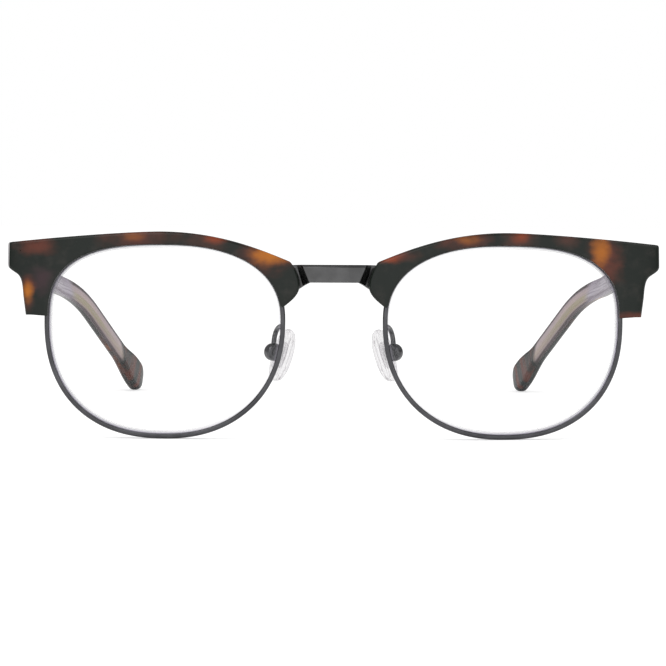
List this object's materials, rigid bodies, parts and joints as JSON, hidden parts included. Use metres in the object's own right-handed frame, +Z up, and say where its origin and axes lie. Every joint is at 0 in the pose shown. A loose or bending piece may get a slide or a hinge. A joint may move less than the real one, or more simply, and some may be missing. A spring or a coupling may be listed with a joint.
{
  "type": "browline glasses",
  "caption": "Browline glasses: tortoise brow bars over metal rims with clear lenses, a flat metal bridge, rocking nose pads and folding temples with a clear inner layer.",
  "frame": {"origin": "on the surface that the open glasses stand on, under the middle of the box round them", "axes": "+X to the right as seen from the front, +Y from the front back to the ear tips, +Z up"},
  "size_m": [0.1416, 0.1514, 0.0445],
  "materials": {
    "tortoise": "polished cellulose acetate, near-black tortoise with amber and red-brown blotches",
    "lining": "polished translucent acetate, greyed mauve",
    "gunmetal": "dark gunmetal plating, satin",
    "core_wire": "warm nickel silver strip",
    "lens": "clear lens plastic, thin and uncoated",
    "pad": "clear soft plastic"
  },
  "bodies": {
    "front": {"brow_left": "tortoise", "brow_right": "tortoise", "eyewire_left": "gunmetal", "eyewire_right": "gunmetal", "rim_lock_left": "gunmetal", "rim_lock_right": "gunmetal", "rim_screw_left": "gunmetal", "rim_screw_right": "gunmetal", "lens_left": "lens", "lens_right": "lens", "bridge": "gunmetal", "pad_arm_left": "gunmetal", "pad_arm_right": "gunmetal", "pad_box_left": "gunmetal", "pad_box_right": "gunmetal", "pad_screw_left": "gunmetal", "pad_screw_right": "gunmetal", "brow_tabs_left": "gunmetal", "brow_tabs_right": "gunmetal", "brow_screws_left": "gunmetal", "brow_screws_right": "gunmetal", "front_hinge_left": "gunmetal", "front_hinge_right": "gunmetal", "leaf_screws_left": "gunmetal", "leaf_screws_right": "gunmetal", "hinge_screw_left": "gunmetal", "hinge_screw_right": "gunmetal"},
    "temple_left": {"temple_left": "tortoise", "lining_left": "lining", "core_wire_left": "core_wire", "temple_hinge_left": "gunmetal"},
    "temple_right": {"temple_right": "tortoise", "lining_right": "lining", "core_wire_right": "core_wire", "temple_hinge_right": "gunmetal"},
    "pad_left": {"nose_pad_left": "pad", "pad_insert_left": "pad"},
    "pad_right": {"nose_pad_right": "pad", "pad_insert_right": "pad"}
  },
  "joints": [
    {"name": "temple_left_fold", "type": "hinge", "parent": "front", "child": "temple_left", "pos_m": [-0.0657, -0.06119, 0.039], "axis": [0, -0.1199, -0.9928], "range_deg": [0, 85]},
    {"name": "temple_right_fold", "type": "hinge", "parent": "front", "child": "temple_right", "pos_m": [0.0657, -0.06119, 0.039], "axis": [0, 0.1199, 0.9928], "range_deg": [0, 79]},
    {"name": "nose_pad_left_rock", "type": "hinge", "parent": "front", "child": "pad_left", "pos_m": [-0.0131, -0.06609, 0.01835], "axis": [-0.5, 0.866, 0], "range_deg": [-12, 12]},
    {"name": "nose_pad_right_rock", "type": "hinge", "parent": "front", "child": "pad_right", "pos_m": [0.0131, -0.06609, 0.01835], "axis": [0.5, 0.866, 0], "range_deg": [-12, 12]}
  ]
}
